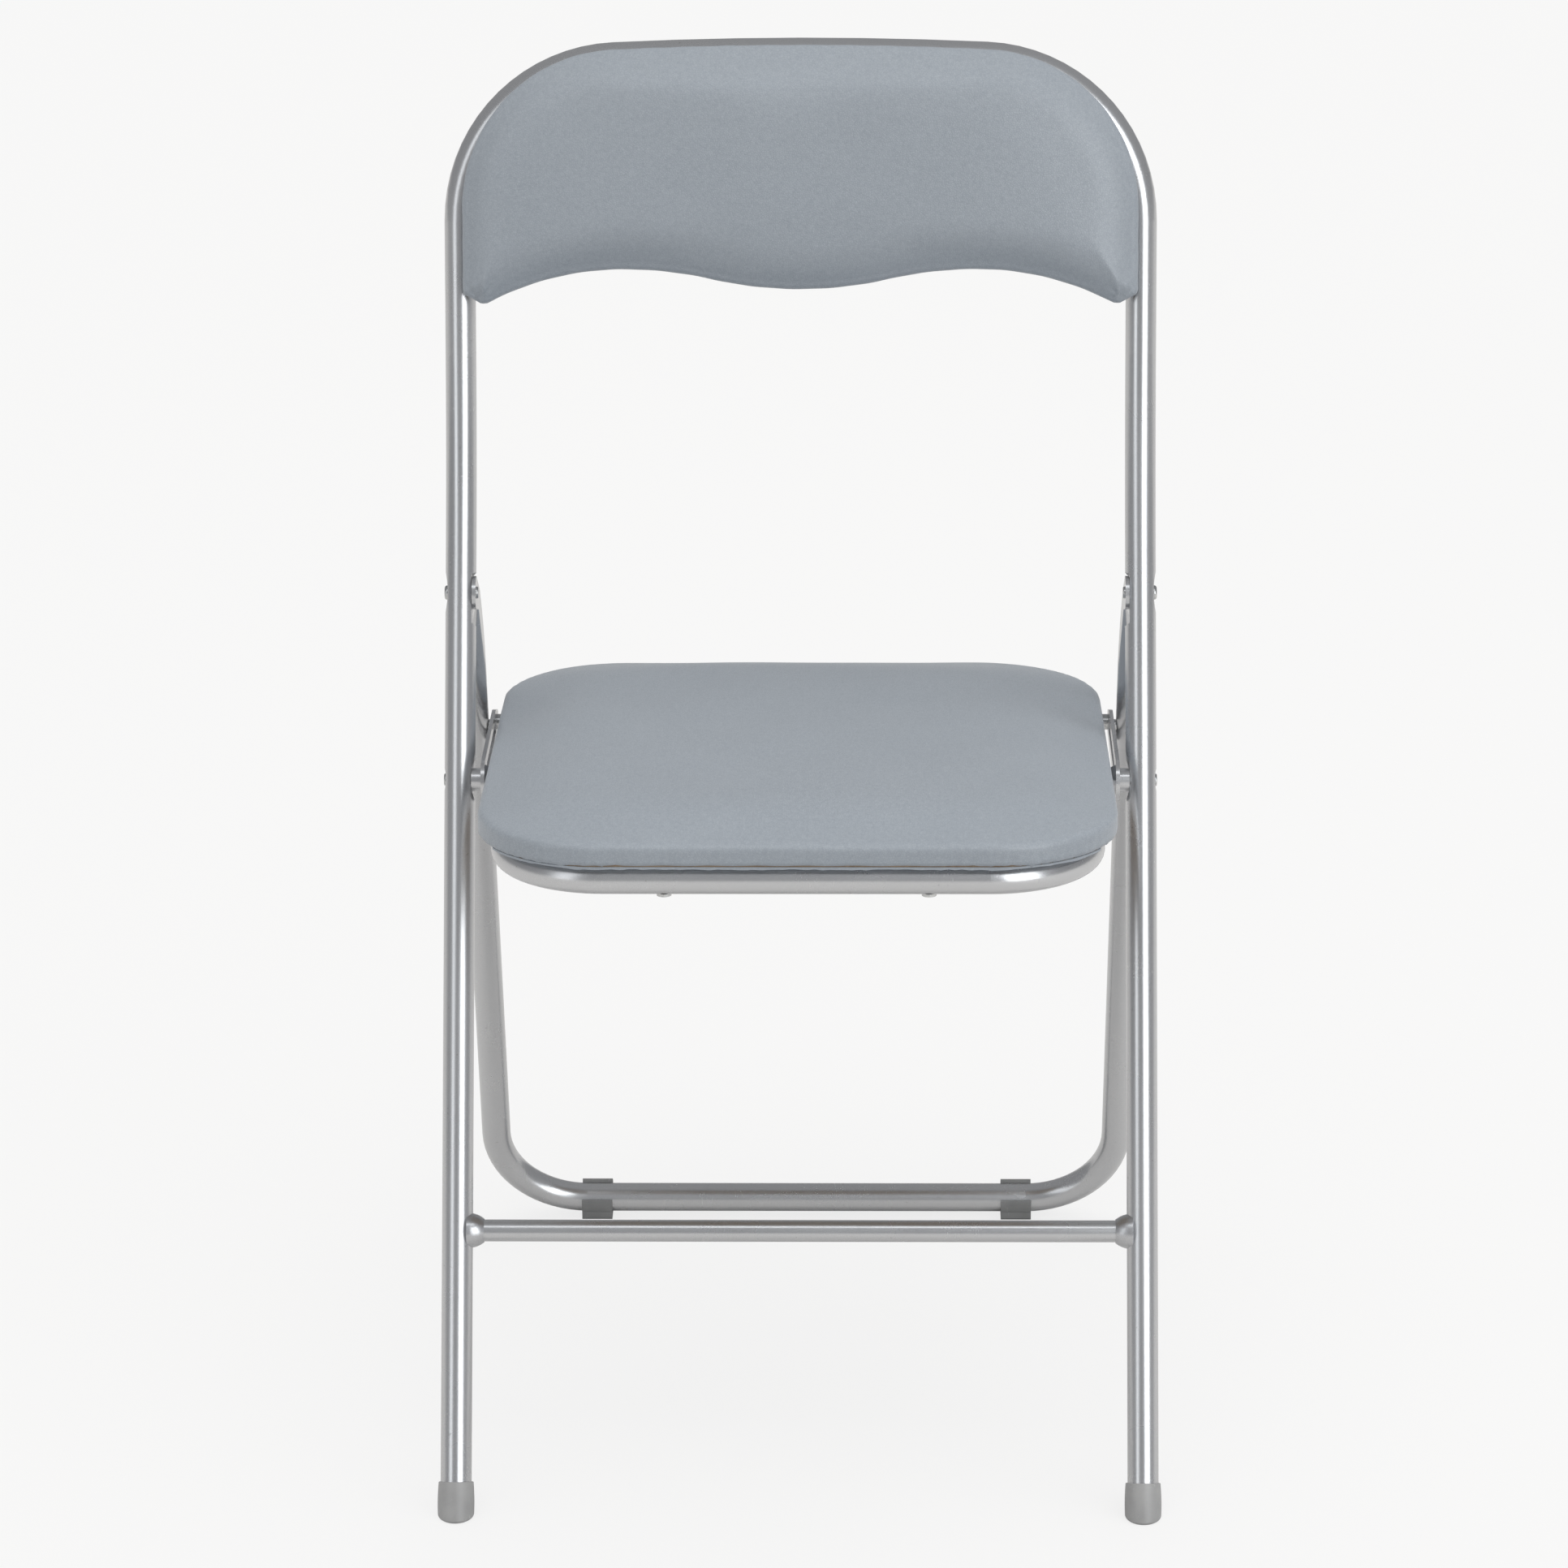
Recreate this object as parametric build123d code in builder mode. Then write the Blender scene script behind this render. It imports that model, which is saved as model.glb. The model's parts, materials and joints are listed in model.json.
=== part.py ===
from build123d import *
from math import asin, cos, degrees, radians, sin, sqrt
import os

# Folding chair with a padded seat and back on a frame of bent round tube.
# Millimetres, +Z up, the sitter faces -Y, origin on the floor under the middle of the chair.

# ---------------------------------------------------------------- driving sizes
tube_r = 9.5              # main, rear and seat tubes
wall = 1.2
half_width = 210.5        # centre plane to the centreline of a main leg
foot_y = -218.65           # where the main leg centrelines meet the floor
lean_low = 25.2           # lean of the main legs from vertical
lean_high = 14.1          # lean of the backrest part
bend_start = 597.0        # distance up the leg at which the long bend starts
bend_length = 120.0
back_rise = 185.0         # end of the bend to the middle of the arch
arch_corner_r = 100.0
arch_bow = 2.6            # degrees by which the top of the arch is bowed

seat_pivot_s = 452.7      # pivots, as distances up the main leg
leg_pivot_s = 569.0
crossbar_s = 174.6
crossbar_r = 6.75

rear_bar_y = 217.35        # centre of the rear foot bar
rear_bar_z = 12.5
rear_half_width = 208.5
rear_setback = 20.0       # rear tube centreline behind the leg pivot
rear_corner_r = 60.0
round_top = 468.0         # up the rear leg: end of the round tube
flat_start = 516.0        # up the rear leg: start of the flattened end
tongue_in, tongue_out = 200.9, 203.3

seat_slope = 3.3
seat_half = 174.0         # seat tube centreline
seat_front = -189.9       # seat plane distances are measured back from the seat pivot
seat_back = 150.0
cross_r = 7.2
cross_end = 203.2
pin_t = 415.0             # up the rear leg: the slide pins
plate_in, plate_out = 194.6, 197.0

board_gap = 0.1           # play between layers of one cushion
vinyl = 1.0

# ---------------------------------------------------------------- reference points and planes
leg_dir = (sin(radians(lean_low)), cos(radians(lean_low)))
back_dir = (sin(radians(lean_high)), cos(radians(lean_high)))


def on_leg(s):
    """(y, z) at distance s up the straight part of a main leg."""
    return foot_y + s * leg_dir[0], s * leg_dir[1]


def on_bend(fraction):
    """(y, z) on the long bend; 0 is its lower end and 1 its upper end."""
    radius = bend_length / radians(lean_low - lean_high)
    lean = radians(lean_low + (lean_high - lean_low) * fraction)
    y, z = on_leg(bend_start)
    return (y + radius * (cos(lean) - leg_dir[1]), z + radius * (leg_dir[0] - sin(lean)))


pivot_b = on_leg(seat_pivot_s)
pivot_a = on_leg(leg_pivot_s)
bar_c = on_leg(crossbar_s)
bend_top = on_bend(1)
arch_top = (bend_top[0] + back_rise * back_dir[0], bend_top[1] + back_rise * back_dir[1])

to_bar = (pivot_a[0] - rear_bar_y, pivot_a[1] - rear_bar_z)
reach = sqrt(to_bar[0] ** 2 + to_bar[1] ** 2)
rear_lean = degrees(asin(-to_bar[0] / reach) - asin(rear_setback / reach))
rear_dir = (-sin(radians(rear_lean)), cos(radians(rear_lean)))


def on_rear(t, front=0.0):
    """(y, z) at distance t up the rear leg, moved forward of its centreline."""
    return (rear_bar_y + t * rear_dir[0] - front * rear_dir[1],
            rear_bar_z + t * rear_dir[1] + front * rear_dir[0])


slope = radians(seat_slope)
back_plane = Plane(origin=(0, arch_top[0], arch_top[1]), x_dir=(1, 0, 0),
                   z_dir=(0, -back_dir[1], back_dir[0]))
seat_plane = Plane(origin=(0, pivot_b[0], pivot_b[1]), x_dir=(1, 0, 0),
                   z_dir=(0, sin(slope), cos(slope)))
rear_plane = Plane(origin=(0, rear_bar_y, rear_bar_z), x_dir=(1, 0, 0),
                   z_dir=(0, -rear_dir[1], rear_dir[0]))
pin_c = on_rear(pin_t)
pin_back = (pin_c[0] - pivot_b[0]) * cos(slope) - (pin_c[1] - pivot_b[1]) * sin(slope)
pin_up = (pin_c[0] - pivot_b[0]) * sin(slope) + (pin_c[1] - pivot_b[1]) * cos(slope)


def side_plane(x, point):
    """A plane facing +X through a (y, z) point, used for pivots and rivets."""
    return Plane(origin=(x, point[0], point[1]), x_dir=(0, 1, 0), z_dir=(1, 0, 0))


os.makedirs("parts", exist_ok=True)

# ---------------------------------------------------------------- main frame
bow = radians(arch_bow)
corner_x = half_width - arch_corner_r
top_r = arch_corner_r + corner_x / sin(bow)
corner_v = (top_r - arch_corner_r) * cos(bow) - top_r


def arch_point(side, angle):
    """World point on the arch's corner bend; 0 degrees is at the side, 90 at the top."""
    a = radians(angle)
    return back_plane.from_local_coords((side * (corner_x + arch_corner_r * cos(a)),
                                         corner_v + arch_corner_r * sin(a), 0))


with BuildLine() as main_path:
    Line((-half_width, *on_leg(5)), (-half_width, *on_leg(bend_start)))
    ThreePointArc((-half_width, *on_leg(bend_start)), (-half_width, *on_bend(0.5)),
                  (-half_width, *on_bend(1)))
    Line((-half_width, *on_bend(1)), arch_point(-1, 0))
    ThreePointArc(arch_point(-1, 0), arch_point(-1, 45 - arch_bow / 2), arch_point(-1, 90 - arch_bow))
    ThreePointArc(arch_point(-1, 90 - arch_bow), back_plane.from_local_coords((0, 0, 0)),
                  arch_point(1, 90 - arch_bow))
    ThreePointArc(arch_point(1, 90 - arch_bow), arch_point(1, 45 - arch_bow / 2), arch_point(1, 0))
    Line(arch_point(1, 0), (half_width, *on_bend(1)))
    ThreePointArc((half_width, *on_bend(1)), (half_width, *on_bend(0.5)),
                  (half_width, *on_leg(bend_start)))
    Line((half_width, *on_leg(bend_start)), (half_width, *on_leg(5)))

# Dents pressed into the tube at the pivots: side of the tube (-1 inner, 1 outer), depth, ball size
dents = [(pivot_b, 1, 1.7, 16.0), (pivot_b, -1, 3.6, 24.0), (pivot_a, 1, 1.9, 45.0)]


def dent_balls(skin):
    """Cut the pivot dents; skin is the thickness of metal kept over each dent."""
    for point, side, depth, ball in dents:
        reach_x = half_width + side * (tube_r - depth + ball)
        with Locations((reach_x, *point), (-reach_x, *point)):
            Sphere(ball + skin, mode=Mode.SUBTRACT)
    # flat pocket on the inner side, where the rear leg's flattened end turns
    for side in (-1, 1):
        for point, radius in ((pivot_a, 12.6), (on_leg(leg_pivot_s - 7), 14.0)):
            with Locations(Location((side * (tongue_out - 5.7 + skin), *point), (0, 90, 0))):
                Cylinder(radius + skin, 12, mode=Mode.SUBTRACT)


with BuildPart() as main_bore:
    with BuildSketch(Plane(origin=main_path.wire() @ 0, z_dir=main_path.wire() % 0)):
        Circle(tube_r - wall)
    sweep(path=main_path.wire())
    dent_balls(wall)

with BuildPart() as main_frame_tube:
    with BuildSketch(Plane(origin=main_path.wire() @ 0, z_dir=main_path.wire() % 0)):
        Circle(tube_r)
    sweep(path=main_path.wire())
    dent_balls(0)
    add(main_bore.part, mode=Mode.SUBTRACT)
    with BuildSketch(side_plane(-250, pivot_a)):
        Circle(2.52)
    extrude(amount=500, mode=Mode.SUBTRACT)
    with BuildSketch(side_plane(-250, pivot_b)):
        Circle(3.02)
    extrude(amount=500, mode=Mode.SUBTRACT)
main_frame_tube.part.label = "main_frame_tube"
export_step(main_frame_tube.part, "parts/main_frame_tube.step")

# The main tube's outside with a hair of play, to trim what is welded to it
with BuildPart() as main_skin:
    with BuildSketch(Plane(origin=main_path.wire() @ 0, z_dir=main_path.wire() % 0)):
        Circle(tube_r + 0.02)
    sweep(path=main_path.wire())

with BuildPart() as front_crossbar:
    with BuildSketch(side_plane(-half_width, bar_c)):
        Circle(crossbar_r)
        Circle(crossbar_r - wall, mode=Mode.SUBTRACT)
    extrude(amount=2 * half_width)
    add(main_skin.part, mode=Mode.SUBTRACT)
front_crossbar.part.label = "front_crossbar"
export_step(front_crossbar.part, "parts/front_crossbar.step")

with BuildPart() as crossbar_welds:
    with BuildSketch(side_plane(half_width - 16.5, bar_c)):
        Circle(crossbar_r + 0.6)
    with BuildSketch(side_plane(half_width - 10.5, bar_c)):
        Circle(crossbar_r + 3.6)
    with BuildSketch(side_plane(half_width - 6, bar_c)):
        Circle(crossbar_r + 4.2)
    loft()
    with BuildSketch(side_plane(half_width - 30, bar_c)):
        Circle(crossbar_r + 0.02)
    extrude(amount=40, mode=Mode.SUBTRACT)
    mirror(about=Plane.YZ)
    add(main_skin.part, mode=Mode.SUBTRACT)
crossbar_welds.part.label = "crossbar_welds"
export_step(crossbar_welds.part, "parts/crossbar_welds.step")


with BuildPart() as front_foot_cap_right:
    leg_axis = Plane(origin=(half_width, foot_y, 0), x_dir=(1, 0, 0), z_dir=(0, *leg_dir))
    with BuildSketch(leg_axis.offset(-6)) as cap_base:
        Circle(tube_r + 1.1)
    with BuildSketch(leg_axis.offset(6)):
        Circle(tube_r + 1.75)
    with BuildSketch(leg_axis.offset(21)):
        Circle(tube_r + 1.2)
    loft()
    fillet(faces().sort_by(Axis(origin=leg_axis.origin, direction=leg_axis.z_dir))[-1].edges(), 0.6)
    with BuildSketch(leg_axis.offset(5)):
        Circle(tube_r + 0.02)
    extrude(amount=30, mode=Mode.SUBTRACT)
    split(bisect_by=Plane.XY, keep=Keep.TOP)
    fillet(faces().sort_by(Axis.Z)[0].edges(), 1.6)
front_foot_cap_right.part.label = "front_foot_cap_right"
export_step(front_foot_cap_right.part, "parts/front_foot_cap_right.step")

with BuildPart() as front_foot_cap_left:
    add(front_foot_cap_right.part)
    mirror(about=Plane.YZ, mode=Mode.REPLACE)
front_foot_cap_left.part.label = "front_foot_cap_left"
export_step(front_foot_cap_left.part, "parts/front_foot_cap_left.step")

# ---------------------------------------------------------------- pivots on the main frame
with BuildPart() as upper_pivot_rivets:
    with BuildSketch(side_plane(tongue_in - 1.2, pivot_a)):
        Circle(2.5)
    extrude(amount=half_width + tube_r - tongue_in + 0.9)
    with BuildSketch(side_plane(half_width + tube_r - 1.55, pivot_a)):
        Circle(4.5)
    extrude(amount=2.1)
    fillet(faces().sort_by(Axis.X)[-1].edges(), 1.6)
    with BuildSketch(side_plane(tongue_in - 1.35, pivot_a)):
        Circle(3.7)
    extrude(amount=1.33)
    fillet(faces().sort_by(Axis.X)[0].edges(), 0.9)
    mirror(about=Plane.YZ)
upper_pivot_rivets.part.label = "upper_pivot_rivets"
export_step(upper_pivot_rivets.part, "parts/upper_pivot_rivets.step")

with BuildPart() as seat_pivot_rod:
    with BuildSketch(side_plane(0, pivot_b)):
        Circle(3.0)
    extrude(amount=half_width + tube_r - 0.4)
    with BuildSketch(side_plane(half_width + tube_r - 1.15, pivot_b)):
        Circle(3.9)
    extrude(amount=1.4)
    fillet(faces().sort_by(Axis.X)[-1].edges(), 0.9)
    mirror(about=Plane.YZ)
seat_pivot_rod.part.label = "seat_pivot_rod"
export_step(seat_pivot_rod.part, "parts/seat_pivot_rod.step")

# ---------------------------------------------------------------- backrest
back_half = 208.0
back_top = 5.0
back_corner_r = 97.0
panel_w = 10.2            # back face of the panel, in front of the tube's centre plane
panel_t = 23.0
top_arc_r = 2400.0
foot_corner_r = 12.0
crest_x, crest_v = 109.0, -132.1
tip_r = 180.0             # arcs from the crests out to the lower corners
dip_v = -144.3            # middle of the lower edge
top_turn = asin((back_half - back_corner_r) / (top_arc_r - back_corner_r))


back_screws = [(side * 184.0, v) for side in (-1, 1) for v in (-72.0, -122.0)]


def wave(run, rise):
    """Radius and half angle of the two equal arcs that join two level points."""
    radius = (run ** 2 + rise ** 2) / (4 * abs(rise))
    return radius, degrees(asin(run / 2 / radius))


def back_face(inset):
    """The backrest outline moved inwards by inset, made of tangent arcs."""
    dip_r, dip_turn = wave(crest_x, crest_v - dip_v)
    tip_x = back_half - foot_corner_r
    tip_sine = asin((tip_x - crest_x) / (tip_r + foot_corner_r))
    tip_turn = degrees(tip_sine)
    foot_v = crest_v - tip_r + (tip_r + foot_corner_r) * cos(tip_sine)
    corner_v_centre = back_top - top_arc_r + (top_arc_r - back_corner_r) * cos(top_turn)
    turn = degrees(top_turn)
    with BuildSketch() as face:
        with BuildLine():
            CenterArc((0, back_top - top_arc_r), top_arc_r - inset, 90 - turn, 2 * turn)
            CenterArc((0, dip_v + dip_r), dip_r - inset, 270 - dip_turn, 2 * dip_turn)
            for side in (-1, 1):
                CenterArc((side * (back_half - back_corner_r), corner_v_centre),
                          back_corner_r - inset, 90 - side * 90, side * (90 - turn))
                CenterArc((side * crest_x, crest_v - dip_r), dip_r + inset, 90, side * dip_turn)
                CenterArc((side * crest_x, crest_v - tip_r), tip_r + inset, 90, -side * tip_turn)
                foot = CenterArc((side * tip_x, foot_v), foot_corner_r - inset,
                                 270 - side * tip_turn, side * (90 + tip_turn))
                Line(foot @ 1, (side * (back_half - inset), corner_v_centre))
        make_face()
    return face.sketch


with BuildPart() as backrest_back_liner:
    with BuildSketch(back_plane.offset(tube_r + 0.02)):
        add(back_face(5))
        with Locations(*back_screws):
            Circle(1.8, mode=Mode.SUBTRACT)
    extrude(amount=panel_w - tube_r - 0.04)
backrest_back_liner.part.label = "backrest_back_liner"
export_step(backrest_back_liner.part, "parts/backrest_back_liner.step")

with BuildPart() as backrest_cover:
    with BuildSketch(back_plane.offset(panel_w)):
        add(back_face(0))
    extrude(amount=panel_t)
    fillet(faces().sort_by(Axis(origin=(0, 0, 0), direction=back_plane.z_dir))[-1].edges(), 9)
    with BuildSketch(back_plane.offset(panel_w + vinyl)):
        add(back_face(vinyl))
    extrude(amount=panel_t - 2 * vinyl - 8, mode=Mode.SUBTRACT)
    with BuildSketch(back_plane.offset(panel_w + vinyl)):
        add(back_face(vinyl + 8))
    extrude(amount=panel_t - 2 * vinyl, mode=Mode.SUBTRACT)
    with BuildSketch(back_plane.offset(panel_w)):
        add(back_face(10))
    extrude(amount=vinyl, mode=Mode.SUBTRACT)
backrest_cover.part.label = "backrest_cover"
export_step(backrest_cover.part, "parts/backrest_cover.step")

with BuildPart() as backrest_board:
    with BuildSketch(back_plane.offset(panel_w + vinyl + board_gap)):
        add(back_face(vinyl + board_gap))
    extrude(amount=5)
    with Locations(*[back_plane.offset(panel_w) * Location((x, v, 0)) for x, v in back_screws]):
        Cylinder(1.8, 30, mode=Mode.SUBTRACT)
backrest_board.part.label = "backrest_board"
export_step(backrest_board.part, "parts/backrest_board.step")

with BuildPart() as backrest_foam:
    with BuildSketch(back_plane.offset(panel_w + vinyl + 5 + 2 * board_gap)):
        add(back_face(vinyl + 8 + board_gap))
    extrude(amount=panel_t - 2 * vinyl - 5 - 3 * board_gap)
backrest_foam.part.label = "backrest_foam"
export_step(backrest_foam.part, "parts/backrest_foam.step")

with BuildPart() as backrest_tabs:
    for x, v in back_screws:
        side = 1 if x > 0 else -1
        with BuildSketch(back_plane.offset(tube_r - 2)):
            outer = 203.8 if v > -100 else 205.4
            with Locations((side * (172 + outer) / 2, v)):
                RectangleRounded(outer - 172, 20, 5)
            with Locations((x, v)):
                Circle(2.1, mode=Mode.SUBTRACT)
        extrude(amount=2)
    add(main_skin.part, mode=Mode.SUBTRACT)
backrest_tabs.part.label = "backrest_tabs"
export_step(backrest_tabs.part, "parts/backrest_tabs.step")

with BuildPart() as backrest_screws:
    for x, v in back_screws:
        with BuildSketch(back_plane.offset(tube_r - 4.2)):
            with Locations((x, v)):
                Circle(4.0)
        extrude(amount=2.18)
        with BuildSketch(back_plane.offset(tube_r - 2.05)):
            with Locations((x, v)):
                Circle(1.75)
        extrude(amount=8.5)
    fillet(edges().filter_by(GeomType.CIRCLE).group_by(Axis(origin=(0, 0, 0),
           direction=back_plane.z_dir))[0], 1.0)
backrest_screws.part.label = "backrest_screws"
export_step(backrest_screws.part, "parts/backrest_screws.step")

# ---------------------------------------------------------------- rear legs
rear_up = (0, *rear_dir)


def rear_section(x, t):
    """A plane across a rear leg at height t, its local Y along the chair's width."""
    return Plane(origin=(x, *on_rear(t)), x_dir=rear_plane.z_dir, z_dir=rear_up)


with BuildPart() as rear_bore:
    with BuildLine(rear_plane) as rear_path:
        FilletPolyline((-rear_half_width, round_top), (-rear_half_width, 0),
                       (rear_half_width, 0), (rear_half_width, round_top), radius=rear_corner_r)
    with BuildSketch(rear_section(-rear_half_width, round_top)):
        Circle(tube_r - wall)
    sweep(path=rear_path.wire())

tongue_mid = (tongue_in + tongue_out) / 2
with BuildPart() as rear_leg_tube:
    with BuildSketch(rear_section(rear_half_width, round_top)):
        RectangleRounded(2 * tube_r, 2 * tube_r, tube_r - 0.02)
    with BuildSketch(rear_section(204.6, (round_top + flat_start) / 2)):
        RectangleRounded(21, 9.6, 4.7)
    with BuildSketch(rear_section(tongue_mid, flat_start)):
        RectangleRounded(18, tongue_out - tongue_in, 1.15)
    loft()
    with BuildSketch(Plane.YZ.offset(tongue_in)):
        with BuildLine():
            Line(on_rear(flat_start, 9.0), on_rear(flat_start, -9.0))
            CenterArc(pivot_a, 10.3, 0, 360)
        make_hull()
    extrude(amount=tongue_out - tongue_in)
    mirror(about=Plane.YZ)
    with BuildSketch(rear_section(-rear_half_width, round_top)):
        Circle(tube_r)
    sweep(path=rear_path.wire())
    add(rear_bore.part, mode=Mode.SUBTRACT)
    with BuildSketch(side_plane(-250, pivot_a)):
        Circle(2.6)
    extrude(amount=500, mode=Mode.SUBTRACT)
    with BuildSketch(side_plane(-250, pin_c)):
        Circle(3.02)
    extrude(amount=500, mode=Mode.SUBTRACT)
rear_leg_tube.part.label = "rear_leg_tube"
export_step(rear_leg_tube.part, "parts/rear_leg_tube.step")

with BuildPart() as slide_pins:
    with BuildSketch(side_plane(plate_out + 0.3, pin_c)):
        Circle(4.0)
    extrude(amount=rear_half_width - tube_r - plate_out - 0.32)
    with BuildSketch(side_plane(rear_half_width - tube_r - 0.1, pin_c)):
        Circle(3.0)
    extrude(amount=2 * tube_r + 0.4)
    with BuildSketch(side_plane(rear_half_width + tube_r + 0.02, pin_c)):
        Circle(4.6)
    extrude(amount=1.9)
    fillet(faces().sort_by(Axis.X)[-1].edges(), 1.2)
    mirror(about=Plane.YZ)
slide_pins.part.label = "slide_pins"
export_step(slide_pins.part, "parts/slide_pins.step")

clip_x = 142.0
clip_w = 20.4

with BuildPart() as rear_foot_clip_right:
    with BuildSketch(Plane.YZ.offset(clip_x - clip_w / 2)):
        with Locations((rear_bar_y, rear_bar_z)):
            Circle(12.4)
        with Locations((rear_bar_y, 5.0)):
            RectangleRounded(21, 10, 2)
        with Locations((rear_bar_y, rear_bar_z)):
            Circle(tube_r + 0.12, mode=Mode.SUBTRACT)
        with BuildLine():
            Polyline((rear_bar_y, rear_bar_z), (rear_bar_y - 30, rear_bar_z + 6),
                     (rear_bar_y - 30, rear_bar_z + 30), (rear_bar_y + 12, rear_bar_z + 30),
                     (rear_bar_y, rear_bar_z), close=False)
        make_face(mode=Mode.SUBTRACT)
    extrude(amount=clip_w)
    fillet(edges().filter_by(Axis.X).group_by(Axis.Z)[-1], 0.8)
rear_foot_clip_right.part.label = "rear_foot_clip_right"
export_step(rear_foot_clip_right.part, "parts/rear_foot_clip_right.step")

with BuildPart() as rear_foot_clip_left:
    add(rear_foot_clip_right.part)
    mirror(about=Plane.YZ, mode=Mode.REPLACE)
rear_foot_clip_left.part.label = "rear_foot_clip_left"
export_step(rear_foot_clip_left.part, "parts/rear_foot_clip_left.step")

# ---------------------------------------------------------------- seat frame
with BuildLine(seat_plane) as seat_path:
    FilletPolyline((-seat_half, seat_back), (-seat_half, seat_front),
                   (seat_half, seat_front), (seat_half, seat_back), radius=60)
seat_end = Plane(origin=seat_path.wire() @ 0, z_dir=seat_path.wire() % 0)

spacer_at = Plane(origin=seat_plane.from_local_coords((0, pin_back + 16, pin_up - 2.5)),
                  x_dir=(0, 1, 0), z_dir=(1, 0, 0))
seat_screw_spots = [(side * x, y) for side in (-1, 1)
                    for x, y in ((78.0, seat_front), (seat_half, -80.0), (seat_half, 95.0))]

with BuildPart() as seat_frame_tube:
    with BuildSketch(seat_end):
        Circle(tube_r)
        Circle(tube_r - wall, mode=Mode.SUBTRACT)
    sweep(path=seat_path.wire())
    with BuildSketch(side_plane(-250, pivot_b)):
        Circle(cross_r + 0.02)
    extrude(amount=500, mode=Mode.SUBTRACT)
    with BuildSketch(seat_plane.offset(-15)):
        with Locations(*seat_screw_spots):
            Circle(2.1)
    extrude(amount=30, mode=Mode.SUBTRACT)
    with BuildSketch(seat_plane.offset(-20)):
        with Locations(*seat_screw_spots):
            Circle(4.6)
    extrude(amount=11.2, mode=Mode.SUBTRACT)
    for side in (-1, 1):
        with BuildSketch(spacer_at.offset(side * (seat_half + 5))):
            Circle(2.52)
        extrude(amount=side * 8, mode=Mode.SUBTRACT)
seat_frame_tube.part.label = "seat_frame_tube"
export_step(seat_frame_tube.part, "parts/seat_frame_tube.step")

with BuildPart() as seat_cross_tube:
    with BuildSketch(side_plane(-cross_end, pivot_b)):
        Circle(cross_r)
        Circle(cross_r - wall, mode=Mode.SUBTRACT)
    extrude(amount=2 * cross_end)
seat_cross_tube.part.label = "seat_cross_tube"
export_step(seat_cross_tube.part, "parts/seat_cross_tube.step")

with BuildPart() as cross_tube_welds:
    for x, toward in ((seat_half - tube_r + 0.6, -1), (plate_in - 0.02, -1)):
        with BuildSketch(side_plane(x, pivot_b)):
            Circle(cross_r + 2.2)
        with BuildSketch(side_plane(x + toward * 3.2, pivot_b)):
            Circle(cross_r + 0.4)
        loft()
    with BuildSketch(side_plane(150, pivot_b)):
        Circle(cross_r + 0.02)
    extrude(amount=60, mode=Mode.SUBTRACT)
    with BuildSketch(Plane(origin=seat_plane.from_local_coords((seat_half, -40, 0)),
                           z_dir=seat_plane.y_dir)):
        Circle(tube_r + 0.02)
    extrude(amount=80, mode=Mode.SUBTRACT)
    mirror(about=Plane.YZ)
cross_tube_welds.part.label = "cross_tube_welds"
export_step(cross_tube_welds.part, "parts/cross_tube_welds.step")

with BuildPart() as seat_pivot_bushes:
    with BuildSketch(side_plane(cross_end - 14, pivot_b)):
        Circle(cross_r - wall - 0.01)
        Circle(3.06, mode=Mode.SUBTRACT)
    extrude(amount=14)
    mirror(about=Plane.YZ)
seat_pivot_bushes.part.label = "seat_pivot_bushes"
export_step(seat_pivot_bushes.part, "parts/seat_pivot_bushes.step")

with BuildPart() as seat_tube_plugs:
    for side in (-1, 1):
        end = Plane(origin=seat_plane.from_local_coords((side * seat_half, seat_back, 0)),
                    z_dir=seat_plane.y_dir)
        with BuildSketch(end.offset(0.02)):
            Circle(tube_r - 0.1)
        extrude(amount=2.4)
        with BuildSketch(end.offset(-14)):
            Circle(tube_r - wall - 0.02)
        extrude(amount=14.1)
seat_tube_plugs.part.label = "seat_tube_plugs"
export_step(seat_tube_plugs.part, "parts/seat_tube_plugs.step")


def slot_bracket(x):
    """A flat plate beside the seat tube, slotted for the slide pin."""
    with BuildPart() as plate:
        with BuildSketch(Plane(origin=seat_plane.from_local_coords((x, 0, 0)),
                               x_dir=seat_plane.y_dir, z_dir=(1, 0, 0))):
            with BuildLine():
                CenterArc((0, 0), 13.0, 0, 360)
                CenterArc((pin_back + 16, pin_up - 2.5), 8.0, 0, 360)
                CenterArc((pin_back, pin_up + 1.5), 8.5, 0, 360)
            make_hull()
            Circle(cross_r + 0.02, mode=Mode.SUBTRACT)
            with Locations((pin_back + 16, pin_up - 2.5)):
                Circle(2.52, mode=Mode.SUBTRACT)
            with Locations(Location(((pin_back + 18) / 2, pin_up, 0))):
                SlotCenterToCenter(pin_back - 18, 8.6, mode=Mode.SUBTRACT)
        extrude(amount=plate_out - plate_in)
    return plate.part


with BuildPart() as slot_bracket_right:
    add(slot_bracket(plate_in))
slot_bracket_right.part.label = "slot_bracket_right"
export_step(slot_bracket_right.part, "parts/slot_bracket_right.step")

with BuildPart() as slot_bracket_left:
    add(slot_bracket(-plate_out))
slot_bracket_left.part.label = "slot_bracket_left"
export_step(slot_bracket_left.part, "parts/slot_bracket_left.step")

with BuildPart() as bracket_spacers:
    with BuildSketch(spacer_at.offset(seat_half + 3)):
        Circle(5.0)
        Circle(2.52, mode=Mode.SUBTRACT)
    extrude(amount=plate_in - seat_half - 3.02)
    with BuildSketch(Plane(origin=seat_plane.from_local_coords((seat_half, 60, 0)),
                           z_dir=seat_plane.y_dir)):
        Circle(tube_r + 0.02)
    extrude(amount=95, mode=Mode.SUBTRACT)
    mirror(about=Plane.YZ)
bracket_spacers.part.label = "bracket_spacers"
export_step(bracket_spacers.part, "parts/bracket_spacers.step")

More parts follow.
